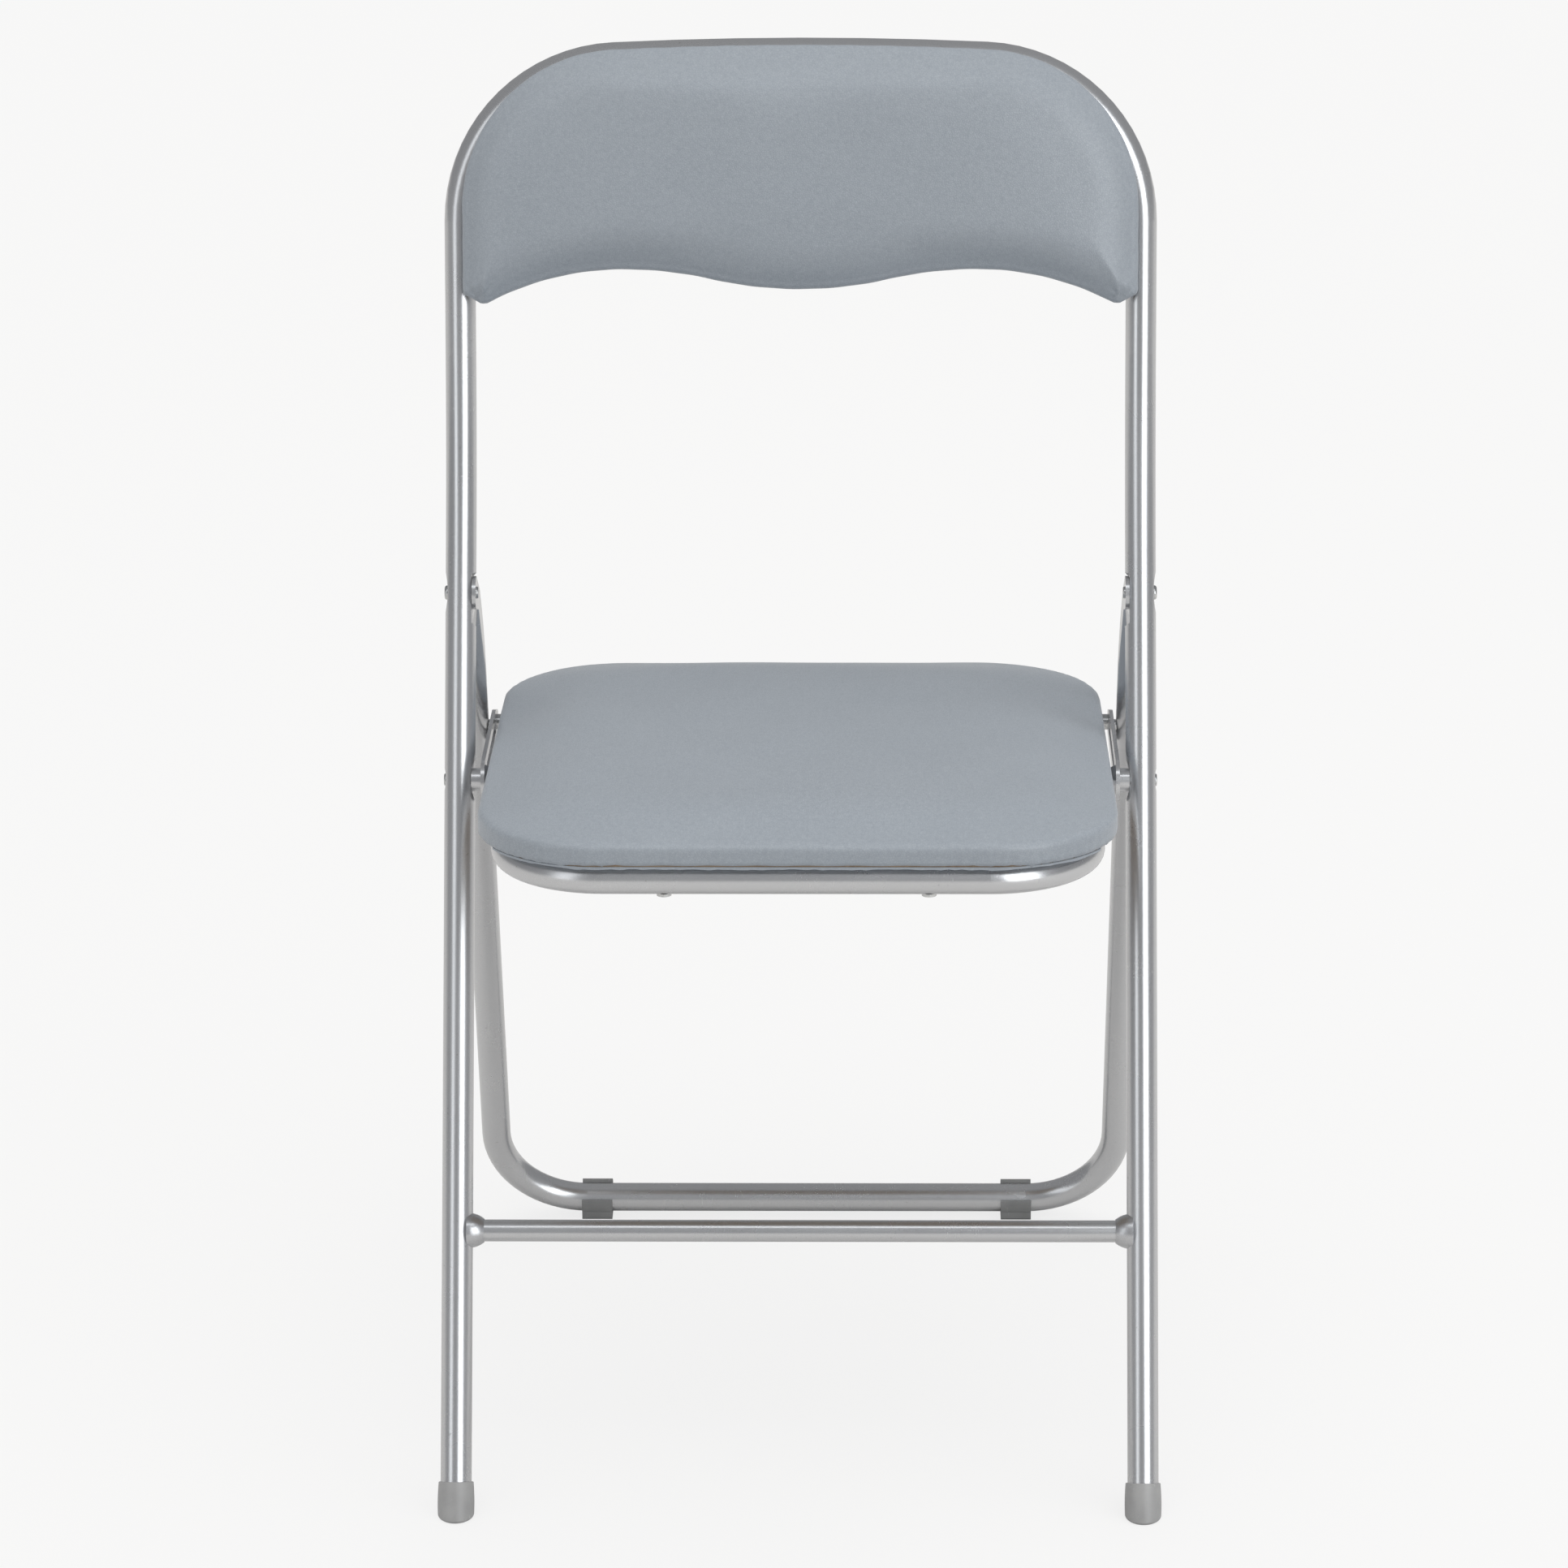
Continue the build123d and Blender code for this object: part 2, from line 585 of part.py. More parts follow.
with BuildPart() as bracket_rivets:
    with BuildSketch(spacer_at.offset(seat_half + 7)):
        Circle(2.5)
    extrude(amount=plate_out - seat_half - 6.5)
    with BuildSketch(spacer_at.offset(plate_out + 0.02)):
        Circle(4.5)
    extrude(amount=1.1)
    with BuildSketch(spacer_at.offset(seat_half + 5.9)):
        Circle(3.3)
    extrude(amount=1.3)
    mirror(about=Plane.YZ)
bracket_rivets.part.label = "bracket_rivets"
export_step(bracket_rivets.part, "parts/bracket_rivets.step")

# ---------------------------------------------------------------- seat cushion
seat_w = tube_r + 0.02    # underside of the cushion above the tube centreline
cushion_t = 25.0
cushion_edge_r = 10.0
seat_board_t = 9.0

with BuildSketch() as seat_outline:
    with BuildLine():
        Polyline((-191, -202.5), (191, -202.5), (188.6, 173.8), (-188.6, 173.8), close=True)
    make_face()
    fillet(vertices().group_by(Axis.Y)[0], 74)
    fillet(vertices().group_by(Axis.Y)[-1], 76)

with BuildPart() as seat_cover:
    with BuildSketch(seat_plane.offset(seat_w)):
        add(seat_outline.sketch)
    extrude(amount=cushion_t)
    fillet(faces().sort_by(Axis(origin=(0, 0, 0), direction=seat_plane.z_dir))[-1].edges(),
           cushion_edge_r)
    with BuildSketch(seat_plane.offset(seat_w + vinyl)):
        add(seat_outline.sketch)
        offset(amount=-vinyl, mode=Mode.REPLACE)
    extrude(amount=seat_board_t + 2 * board_gap, mode=Mode.SUBTRACT)
    with BuildSketch(seat_plane.offset(seat_w + vinyl)):
        add(seat_outline.sketch)
        offset(amount=-vinyl - 9, mode=Mode.REPLACE)
    extrude(amount=cushion_t - 2 * vinyl, mode=Mode.SUBTRACT)
    with BuildSketch(seat_plane.offset(seat_w)):
        add(seat_outline.sketch)
        offset(amount=-30, mode=Mode.REPLACE)
    extrude(amount=vinyl, mode=Mode.SUBTRACT)
    with BuildSketch(seat_plane.offset(seat_w)):
        with Locations(*seat_screw_spots):
            Circle(1.8)
    extrude(amount=vinyl, mode=Mode.SUBTRACT)
seat_cover.part.label = "seat_cover"
export_step(seat_cover.part, "parts/seat_cover.step")

with BuildPart() as seat_board:
    with BuildSketch(seat_plane.offset(seat_w + vinyl + board_gap)):
        add(seat_outline.sketch)
        offset(amount=-vinyl - board_gap, mode=Mode.REPLACE)
    extrude(amount=seat_board_t)
    with BuildSketch(seat_plane.offset(seat_w)):
        with Locations(*seat_screw_spots):
            Circle(1.8)
    extrude(amount=9, mode=Mode.SUBTRACT)
seat_board.part.label = "seat_board"
export_step(seat_board.part, "parts/seat_board.step")

with BuildPart() as seat_foam:
    with BuildSketch(seat_plane.offset(seat_w + vinyl + seat_board_t + 2 * board_gap)):
        add(seat_outline.sketch)
        offset(amount=-vinyl - 9 - board_gap, mode=Mode.REPLACE)
    extrude(amount=cushion_t - 2 * vinyl - seat_board_t - 3 * board_gap)
seat_foam.part.label = "seat_foam"
export_step(seat_foam.part, "parts/seat_foam.step")

with BuildPart() as seat_screws:
    with BuildSketch(seat_plane.offset(-10.6)):
        with Locations(*seat_screw_spots):
            Circle(4.4)
    extrude(amount=1.78)
    with BuildSketch(seat_plane.offset(-9)):
        with Locations(*seat_screw_spots):
            Circle(1.75)
    extrude(amount=27)
seat_screws.part.label = "seat_screws"
export_step(seat_screws.part, "parts/seat_screws.step")

with BuildPart() as seat_staples:
    spots = [(side * 162.8, y, 90) for side in (-1, 1) for y in range(-110, 101, 30)]
    spots += [(x, y, 0) for x in range(-105, 106, 30) for y in (-176.5, 158)]
    with BuildSketch(seat_plane.offset(seat_w - 0.6)):
        for x, y, turn in spots:
            with Locations(Location((x, y, 0), (0, 0, turn))):
                Rectangle(10, 1.2)
    extrude(amount=0.58)
seat_staples.part.label = "seat_staples"
export_step(seat_staples.part, "parts/seat_staples.step")
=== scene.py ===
import json
import math
from collections import namedtuple

import bpy
import numpy as np
from mathutils import Matrix, Vector
from mathutils.kdtree import KDTree


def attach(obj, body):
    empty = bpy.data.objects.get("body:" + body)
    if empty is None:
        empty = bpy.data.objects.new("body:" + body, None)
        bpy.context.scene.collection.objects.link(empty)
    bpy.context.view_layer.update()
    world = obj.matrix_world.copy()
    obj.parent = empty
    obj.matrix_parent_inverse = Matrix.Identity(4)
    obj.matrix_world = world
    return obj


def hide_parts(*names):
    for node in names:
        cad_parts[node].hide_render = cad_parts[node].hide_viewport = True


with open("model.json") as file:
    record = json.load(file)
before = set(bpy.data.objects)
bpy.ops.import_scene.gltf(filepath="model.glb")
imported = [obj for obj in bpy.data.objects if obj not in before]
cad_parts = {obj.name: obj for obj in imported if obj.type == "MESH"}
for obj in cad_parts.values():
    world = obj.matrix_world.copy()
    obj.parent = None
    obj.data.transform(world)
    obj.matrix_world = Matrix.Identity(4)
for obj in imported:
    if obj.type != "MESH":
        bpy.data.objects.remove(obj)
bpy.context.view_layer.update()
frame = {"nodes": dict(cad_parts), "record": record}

# Planes of the chair, in metres and radians; the same lines as the frame's own drawing
SEAT_SLOPE = math.radians(3.3)
BACK_LEAN = math.radians(14.1)
JOINTS = {j["name"]: j for j in frame["record"]["behaviour"]["joints"]}
SEAT_PIVOT = np.array(JOINTS["seat_fold"]["pos_m"])
BACK_TOP_CENTRE = np.array([0.0, 0.12090, 0.83244])    # middle of the arch's tube
SEAT_PAD_BASE = 0.00952    # underside of the seat cushion above the seat tube's centreline
BACK_PAD_BASE = 0.0102     # back of the backrest cushion in front of the tube's centreline


def on_seat(x, y, z):
    """Seat plane coordinates (across, back from the pivot, up from the seat tube) to world."""
    c, s = math.cos(SEAT_SLOPE), math.sin(SEAT_SLOPE)
    return np.stack([x, SEAT_PIVOT[1] + y * c + z * s, SEAT_PIVOT[2] - y * s + z * c], -1)


def on_back(x, v, w):
    """Back plane coordinates (across, up the back, forward of the tube's centre) to world."""
    c, s = math.cos(BACK_LEAN), math.sin(BACK_LEAN)
    return np.stack([x, BACK_TOP_CENTRE[1] + v * s - w * c, BACK_TOP_CENTRE[2] + v * c + w * s], -1)


# ------------------------------------------------------------------ material building blocks
def new_group(name, inputs, outputs):
    """An empty node group with float inputs (name, default) and typed outputs."""
    group = bpy.data.node_groups.new(name, "ShaderNodeTree")
    for label, value in inputs:
        socket = group.interface.new_socket(label, in_out="INPUT", socket_type="NodeSocketFloat")
        socket.default_value = value
    for label, kind in outputs:
        group.interface.new_socket(label, in_out="OUTPUT", socket_type=kind)
    ends = group.nodes.new("NodeGroupInput"), group.nodes.new("NodeGroupOutput")
    return group, ends[0].outputs, ends[1].inputs


def node(tree, kind, links=(), **values):
    """Add a node, set its properties and join its inputs; links are (input, socket or value)."""
    item = tree.nodes.new(kind)
    for key, value in values.items():
        setattr(item, key, value)
    for key, value in dict(links).items():
        if isinstance(value, bpy.types.NodeSocket):
            tree.links.new(value, item.inputs[key])
        else:
            item.inputs[key].default_value = value
    return item


def maths(tree, operation, *values):
    """A Math node; each value is a number or a socket."""
    return node(tree, "ShaderNodeMath", dict(enumerate(values)), operation=operation).outputs[0]


def mapped(tree, value, low, high, to_low, to_high):
    """A clamped Map Range of a value."""
    return node(tree, "ShaderNodeMapRange", {"Value": value, "From Min": low, "From Max": high,
                "To Min": to_low, "To Max": to_high}).outputs["Result"]


def object_coords(tree):
    """Coordinates that stay with the piece, in metres."""
    return node(tree, "ShaderNodeTexCoord").outputs["Object"]


def vinyl_grain_group():
    """Embossed skin grain: small rounded cells split by creases, over soft uneven swelling."""
    tree, given, out = new_group("vinyl_grain", [("Cell Scale", 760.0), ("Speckle Scale", 400.0)],
                                 [("Height", "NodeSocketFloat"), ("Crease", "NodeSocketFloat"),
                                  ("Mottle", "NodeSocketFloat")])
    where = object_coords(tree)
    warp = node(tree, "ShaderNodeTexNoise", {"Vector": where, "Scale": 260.0, "Detail": 1.0})
    moved = node(tree, "ShaderNodeVectorMath", {0: warp.outputs["Color"], 1: (0.0016,) * 3},
                 operation="MULTIPLY")
    place = node(tree, "ShaderNodeVectorMath", {0: where, 1: moved.outputs[0]}, operation="ADD")
    cells = node(tree, "ShaderNodeTexVoronoi", {"Vector": place.outputs[0],
                 "Scale": given["Cell Scale"]}, feature="DISTANCE_TO_EDGE")
    crease = mapped(tree, cells.outputs["Distance"], 0.0, 0.22, 1.0, 0.0)
    fine = node(tree, "ShaderNodeTexNoise", {"Vector": where, "Scale": 2600.0, "Detail": 2.0})
    tree.links.new(crease, out["Crease"])
    bulge = maths(tree, "SUBTRACT", maths(tree, "MULTIPLY", fine.outputs["Fac"], 0.35), crease)
    tree.links.new(bulge, out["Height"])
    speckle = node(tree, "ShaderNodeTexNoise", {"Vector": where, "Scale": given["Speckle Scale"],
                   "Detail": 4.0, "Roughness": 0.7})
    slow = node(tree, "ShaderNodeTexNoise", {"Vector": where, "Scale": 14.0, "Detail": 2.0})
    both = maths(tree, "ADD", maths(tree, "MULTIPLY", speckle.outputs["Fac"], 0.82),
                 maths(tree, "MULTIPLY", slow.outputs["Fac"], 0.18))
    tree.links.new(both, out["Mottle"])
    return tree


def paint_group():
    """Metallic paint: tiny flakes, slow orange-peel swelling and a little uneven gloss."""
    tree, given, out = new_group("metallic_paint", [("Flake Scale", 5200.0), ("Peel Scale", 420.0)],
                                 [("Flake", "NodeSocketFloat"), ("Peel", "NodeSocketFloat"),
                                  ("Cloud", "NodeSocketFloat")])
    where = object_coords(tree)
    flakes = node(tree, "ShaderNodeTexVoronoi", {"Vector": where, "Scale": given["Flake Scale"]})
    value = node(tree, "ShaderNodeSeparateColor", {"Color": flakes.outputs["Color"]})
    tree.links.new(value.outputs["Red"], out["Flake"])
    peel = node(tree, "ShaderNodeTexNoise", {"Vector": where, "Scale": given["Peel Scale"],
                "Detail": 1.0})
    tree.links.new(peel.outputs["Fac"], out["Peel"])
    cloud = node(tree, "ShaderNodeTexNoise", {"Vector": where, "Scale": 9.0, "Detail": 4.0})
    tree.links.new(cloud.outputs["Fac"], out["Cloud"])
    return tree


def wear_group():
    """Handling marks: short scratches along the piece and small chips, as 0 to 1 masks."""
    tree, given, out = new_group("handling_wear", [("Amount", 0.5), ("Scale", 60.0)],
                                 [("Scratch", "NodeSocketFloat"), ("Chip", "NodeSocketFloat")])
    where = object_coords(tree)
    stretched = node(tree, "ShaderNodeMapping", {"Vector": where, "Scale": (1.0, 1.0, 0.06),
                     "Rotation": (0.42, 0.1, 0.0)})
    streak = node(tree, "ShaderNodeTexNoise", {"Vector": stretched.outputs[0], "Scale": 1400.0,
                  "Detail": 1.0})
    patch = node(tree, "ShaderNodeTexNoise", {"Vector": where, "Scale": given["Scale"],
                 "Detail": 3.0})
    lines = mapped(tree, streak.outputs["Fac"], 0.66, 0.74, 0.0, 1.0)
    zone = mapped(tree, patch.outputs["Fac"], 0.56, 0.70, 0.0, 1.0)
    scratch = maths(tree, "MULTIPLY", maths(tree, "MULTIPLY", lines, zone), given["Amount"])
    tree.links.new(scratch, out["Scratch"])
    spots = node(tree, "ShaderNodeTexNoise", {"Vector": where, "Scale": 330.0, "Detail": 2.0})
    chip = maths(tree, "MULTIPLY", mapped(tree, spots.outputs["Fac"], 0.735, 0.75, 0.0, 1.0),
                 given["Amount"])
    tree.links.new(chip, out["Chip"])
    return tree


def moulded_group():
    """Moulded plastic: spark-eroded texture and faint flow clouds."""
    tree, given, out = new_group("moulded_surface", [("Grain Scale", 2400.0)],
                                 [("Grain", "NodeSocketFloat"), ("Cloud", "NodeSocketFloat")])
    where = object_coords(tree)
    grain = node(tree, "ShaderNodeTexNoise", {"Vector": where, "Scale": given["Grain Scale"],
                 "Detail": 3.0, "Roughness": 0.7})
    cloud = node(tree, "ShaderNodeTexNoise", {"Vector": where, "Scale": 70.0, "Detail": 3.0})
    tree.links.new(grain.outputs["Fac"], out["Grain"])
    tree.links.new(cloud.outputs["Fac"], out["Cloud"])
    return tree


def fibre_group():
    """Pressed or felted fibre: crossing streaks of two stretched noises."""
    tree, given, out = new_group("pressed_fibre", [("Scale", 500.0)],
                                 [("Fibre", "NodeSocketFloat"), ("Cloud", "NodeSocketFloat")])
    where = object_coords(tree)
    parts = []
    for scale, turn in (((1.0, 0.12, 0.3), 0.5), ((0.12, 1.0, 0.3), -0.4)):
        spun = node(tree, "ShaderNodeMapping", {"Vector": where, "Scale": scale,
                    "Rotation": (0.0, 0.0, turn)})
        parts.append(node(tree, "ShaderNodeTexNoise", {"Vector": spun.outputs[0],
                     "Scale": given["Scale"], "Detail": 3.0}).outputs["Fac"])
    tree.links.new(maths(tree, "MAXIMUM", *parts), out["Fibre"])
    cloud = node(tree, "ShaderNodeTexNoise", {"Vector": where, "Scale": 30.0, "Detail": 4.0})
    tree.links.new(cloud.outputs["Fac"], out["Cloud"])
    return tree


VINYL, PAINT, WEAR = vinyl_grain_group(), paint_group(), wear_group()
MOULDED, FIBRE = moulded_group(), fibre_group()
COLOUR_A, COLOUR_B, COLOUR_RESULT = 6, 7, 2    # a Mix node's colour sockets, by place


def new_material(name, **shader_values):
    """A material with its Principled shader; constants go straight on the shader's sockets."""
    made = bpy.data.materials.new(name)
    made.use_nodes = True
    tree = made.node_tree
    shader = tree.nodes["Principled BSDF"]
    for key, value in shader_values.items():
        shader.inputs[key.replace("_", " ")].default_value = value
    return made, tree, shader


def group_in(tree, group, **values):
    """Use a node group in a material; returns its outputs."""
    item = tree.nodes.new("ShaderNodeGroup")
    item.node_tree = group
    for key, value in values.items():
        item.inputs[key.replace("_", " ")].default_value = value
    return item.outputs


def blend_colours(tree, factor, first, second):
    """From the first colour to the second by a 0 to 1 factor; each is a triple or a socket."""
    item = tree.nodes.new("ShaderNodeMix")
    item.data_type = "RGBA"
    tree.links.new(factor, item.inputs["Factor"])
    for index, colour in ((COLOUR_A, first), (COLOUR_B, second)):
        if isinstance(colour, bpy.types.NodeSocket):
            tree.links.new(colour, item.inputs[index])
        else:
            item.inputs[index].default_value = (*colour, 1.0)
    return item.outputs[COLOUR_RESULT]


def bump(tree, shader, height, strength, distance, below=None):
    """Drive the shader's normal from a height; below is the normal of a coarser bump."""
    item = node(tree, "ShaderNodeBump", {"Height": height, "Strength": strength,
                "Distance": distance})
    if below is not None:
        tree.links.new(below, item.inputs["Normal"])
    tree.links.new(item.outputs["Normal"], shader.inputs["Normal"])
    return item.outputs["Normal"]


def vinyl_material():
    """Cool grey grained vinyl with a thin soft sheen of plasticiser and painted shade in the
    grain's creases.
    """
    made, tree, shader = new_material("grained_vinyl", Coat_Weight=0.16, Coat_Roughness=0.30,
                                      Specular_IOR_Level=0.5, Sheen_Weight=0.05)
    grain = group_in(tree, VINYL)
    base = blend_colours(tree, mapped(tree, grain["Mottle"], 0.3, 0.7, 0.0, 1.0),
                         (0.252, 0.283, 0.322), (0.312, 0.346, 0.386))
    # painted shade: the grain's creases are darkened toward a deeper grey, standing in for shadow
    # in the grooves
    colour = blend_colours(tree, maths(tree, "MULTIPLY", grain["Crease"], 0.35), base,
                           (0.190, 0.218, 0.255))
    tree.links.new(colour, shader.inputs["Base Color"])
    rough = maths(tree, "ADD", mapped(tree, grain["Mottle"], 0.3, 0.7, 0.37, 0.44),
                  maths(tree, "MULTIPLY", grain["Crease"], 0.12))
    tree.links.new(rough, shader.inputs["Roughness"])
    bump(tree, shader, grain["Height"], 0.22, 0.00025)
    return made


def frame_paint_material(name, light, dark, roughness, coat):
    """Silver paint on steel: flakes between the two tones, scratches and small chips."""
    made, tree, shader = new_material(name, Metallic=0.88, Coat_Weight=coat, Coat_Roughness=0.10)
    paint = group_in(tree, PAINT)
    wear = group_in(tree, WEAR, Amount=0.5)
    base = blend_colours(tree, paint["Flake"], dark, light)
    worn = blend_colours(tree, wear["Scratch"], base, (0.80, 0.80, 0.79))
    colour = blend_colours(tree, maths(tree, "MULTIPLY", wear["Chip"], 0.6), worn,
                           (0.20, 0.19, 0.18))
    tree.links.new(colour, shader.inputs["Base Color"])
    rough = maths(tree, "ADD", mapped(tree, paint["Cloud"], 0.3, 0.7, roughness - 0.02,
                  roughness + 0.03), maths(tree, "MULTIPLY", wear["Scratch"], 0.15))
    tree.links.new(rough, shader.inputs["Roughness"])
    below = bump(tree, shader, paint["Peel"], 0.014, 0.0004)
    bump(tree, shader, paint["Flake"], 0.02, 0.0001, below)
    return made


def plastic_material(name, light, dark, roughness):
    """Moulded plastic, cloudy between the two tones, paler where it is scratched."""
    made, tree, shader = new_material(name, Specular_IOR_Level=0.45)
    mould = group_in(tree, MOULDED)
    wear = group_in(tree, WEAR, Amount=0.6)
    base = blend_colours(tree, mapped(tree, mould["Cloud"], 0.3, 0.7, 0.0, 1.0), dark, light)
    pale = tuple(min(1.0, c * 1.6 + 0.04) for c in light)
    colour = blend_colours(tree, wear["Scratch"], base, pale)
    tree.links.new(colour, shader.inputs["Base Color"])
    rough = mapped(tree, mould["Grain"], 0.3, 0.7, roughness - 0.05, roughness + 0.07)
    tree.links.new(rough, shader.inputs["Roughness"])
    bump(tree, shader, mould["Grain"], 0.18, 0.00015)
    return made


def zinc_material():
    """Bright zinc plate: small spangles of two greys and uneven gloss."""
    made, tree, shader = new_material("bright_zinc", Metallic=1.0)
    paint = group_in(tree, PAINT, Flake_Scale=1500.0)
    colour = blend_colours(tree, paint["Flake"], (0.46, 0.47, 0.48), (0.66, 0.66, 0.65))
    tree.links.new(colour, shader.inputs["Base Color"])
    tree.links.new(mapped(tree, paint["Cloud"], 0.3, 0.7, 0.22, 0.36), shader.inputs["Roughness"])
    bump(tree, shader, paint["Peel"], 0.10, 0.0003)
    return made


def fibre_material(name, light, dark, scale, roughness):
    """Pressed board or felt: light fibres over a dark ground, in patches."""
    made, tree, shader = new_material(name, Specular_IOR_Level=0.25)
    fibre = group_in(tree, FIBRE, Scale=scale)
    streak = mapped(tree, fibre["Fibre"], 0.4, 0.72, 0.0, 1.0)
    colour = blend_colours(tree, streak, dark, light)
    shade = blend_colours(tree, mapped(tree, fibre["Cloud"], 0.35, 0.75, 0.0, 0.35), colour, dark)
    tree.links.new(shade, shader.inputs["Base Color"])
    tree.links.new(mapped(tree, fibre["Fibre"], 0.3, 0.7, roughness, roughness + 0.1),
                   shader.inputs["Roughness"])
    bump(tree, shader, fibre["Fibre"], 0.30, 0.0003)
    return made


def foam_material():
    """Open-cell foam: pale cell walls round pores darkened with painted shade."""
    made, tree, shader = new_material("cushion_foam", Specular_IOR_Level=0.1, Sheen_Weight=0.2)
    cells = node(tree, "ShaderNodeTexVoronoi", {"Vector": object_coords(tree), "Scale": 1100.0})
    # painted shade: colour darkens towards each cell's middle, standing in for shadow inside the
    # pores
    colour = blend_colours(tree, mapped(tree, cells.outputs["Distance"], 0.1, 0.6, 0.0, 1.0),
                           (0.46, 0.41, 0.27), (0.62, 0.56, 0.38))
    tree.links.new(colour, shader.inputs["Base Color"])
    tree.links.new(mapped(tree, cells.outputs["Distance"], 0.0, 0.6, 0.85, 0.95),
                   shader.inputs["Roughness"])
    bump(tree, shader, cells.outputs["Distance"], 0.5, 0.0006)
    return made


MATERIALS = {
    "vinyl": vinyl_material(),
    "frame_paint": frame_paint_material("silver_frame_paint", (0.62, 0.625, 0.635),
                                        (0.52, 0.525, 0.54), 0.27, 0.20),
    "weld_paint": frame_paint_material("silver_weld_paint", (0.58, 0.585, 0.60),
                                       (0.44, 0.445, 0.46), 0.30, 0.15),
    "front_cap_plastic": plastic_material("grey_cap_plastic", (0.315, 0.318, 0.322),
                                          (0.270, 0.273, 0.278), 0.42),
    "rear_clip_plastic": plastic_material("dark_grey_clip_plastic", (0.200, 0.205, 0.208),
                                          (0.165, 0.170, 0.173), 0.48),
    "black_plastic": plastic_material("black_plug_plastic", (0.032, 0.032, 0.033),
                                      (0.020, 0.020, 0.021), 0.45),
    "bush_plastic": plastic_material("natural_nylon", (0.72, 0.71, 0.66), (0.63, 0.62, 0.57), 0.40),
    "zinc_steel": zinc_material(),
    "liner": fibre_material("backing_felt", (0.050, 0.051, 0.053), (0.020, 0.020, 0.021), 900.0,
                            0.82),
    "board": fibre_material("pressed_board", (0.25, 0.19, 0.135), (0.15, 0.11, 0.075), 500.0, 0.72),
    "foam": foam_material(),
}

SLOT_OF = {entry["node"]: entry["material_slot"] for entry in frame["record"]["subparts"]}
for name, cad in frame["nodes"].items():
    cad.data.materials.clear()
    cad.data.materials.append(MATERIALS[SLOT_OF[name]])


# ------------------------------------------------------------------ mesh building blocks
def mesh_piece(name, points, faces, material, body, smooth=True):
    """A finished piece from world points and faces, at the origin, riding on a body."""
    mesh = bpy.data.meshes.new(name)
    mesh.from_pydata(np.asarray(points, float).tolist(), [], [list(map(int, f)) for f in faces])
    mesh.polygons.foreach_set("use_smooth", np.full(len(mesh.polygons), smooth))
    mesh.materials.append(MATERIALS[material])
    mesh.update()
    piece = bpy.data.objects.new(name, mesh)
    bpy.context.scene.collection.objects.link(piece)
    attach(piece, body)
    return piece


def ring_quads(rings, count):
    """Quads between rings of count points each; every ring closes on itself."""
    i, j = np.arange(rings - 1)[:, None] * count, np.arange(count)[None, :]
    j2 = (j + 1) % count
    quads = np.stack([i + j, i + j2, i + count + j2, i + count + j], -1)
    return quads.reshape(-1, 4).tolist()


def closed_rings(rings, centre, low_z, high_z):
    """Points and faces of a closed body: rings of points, then a centre point at each end."""
    count, last = len(rings[0]), len(rings) - 1
    points = np.concatenate(rings + [[[*centre, low_z], [*centre, high_z]]])
    j, low_pole = np.arange(count), np.full(count, len(points) - 2)
    j2 = (j + 1) % count
    low = np.stack([j, j2, low_pole], -1)
    high = np.stack([last * count + j2, last * count + j, low_pole + 1], -1)
    return points, ring_quads(len(rings), count) + low.tolist() + high.tolist()


# ------------------------------------------------------------------ cushion outlines
POINT_STEP = 0.001    # distance between the points of an outline


def arc(cx, cy, radius, start, end):
    """Points 1 mm apart on a circle's arc, angles in degrees, without the last point."""
    count = max(2, int(abs(math.radians(end - start)) * radius / POINT_STEP))
    a = np.radians(np.linspace(start, end, count, endpoint=False))
    return np.stack([cx + radius * np.cos(a), cy + radius * np.sin(a)], -1)


def line(x0, y0, x1, y1):
    """Points 1 mm apart on a straight line, without the last point."""
    count = max(2, int(math.hypot(x1 - x0, y1 - y0) / POINT_STEP))
    f = np.linspace(0, 1, count, endpoint=False)[:, None]
    return np.array([x0, y0]) * (1 - f) + np.array([x1, y1]) * f


def seat_outline():
    """Seat cushion seen from above: a slightly tapered rectangle with quarter-round corners."""
    front, rear, wide_f, wide_r = -0.2025, 0.1738, 0.1910, 0.1886    # half widths
    rf, rr = 0.074, 0.076                                              # corner radii
    half = [line(0, rear, wide_r - rr, rear), arc(wide_r - rr, rear - rr, rr, 90, 0),
            line(wide_r, rear - rr, wide_f, front + rf), arc(wide_f - rf, front + rf, rf, 0, -90),
            line(wide_f - rf, front, 0, front)]
    half = np.concatenate(half)
    other = half[::-1] * (-1, 1)
    return np.concatenate([half, other[:-1]])


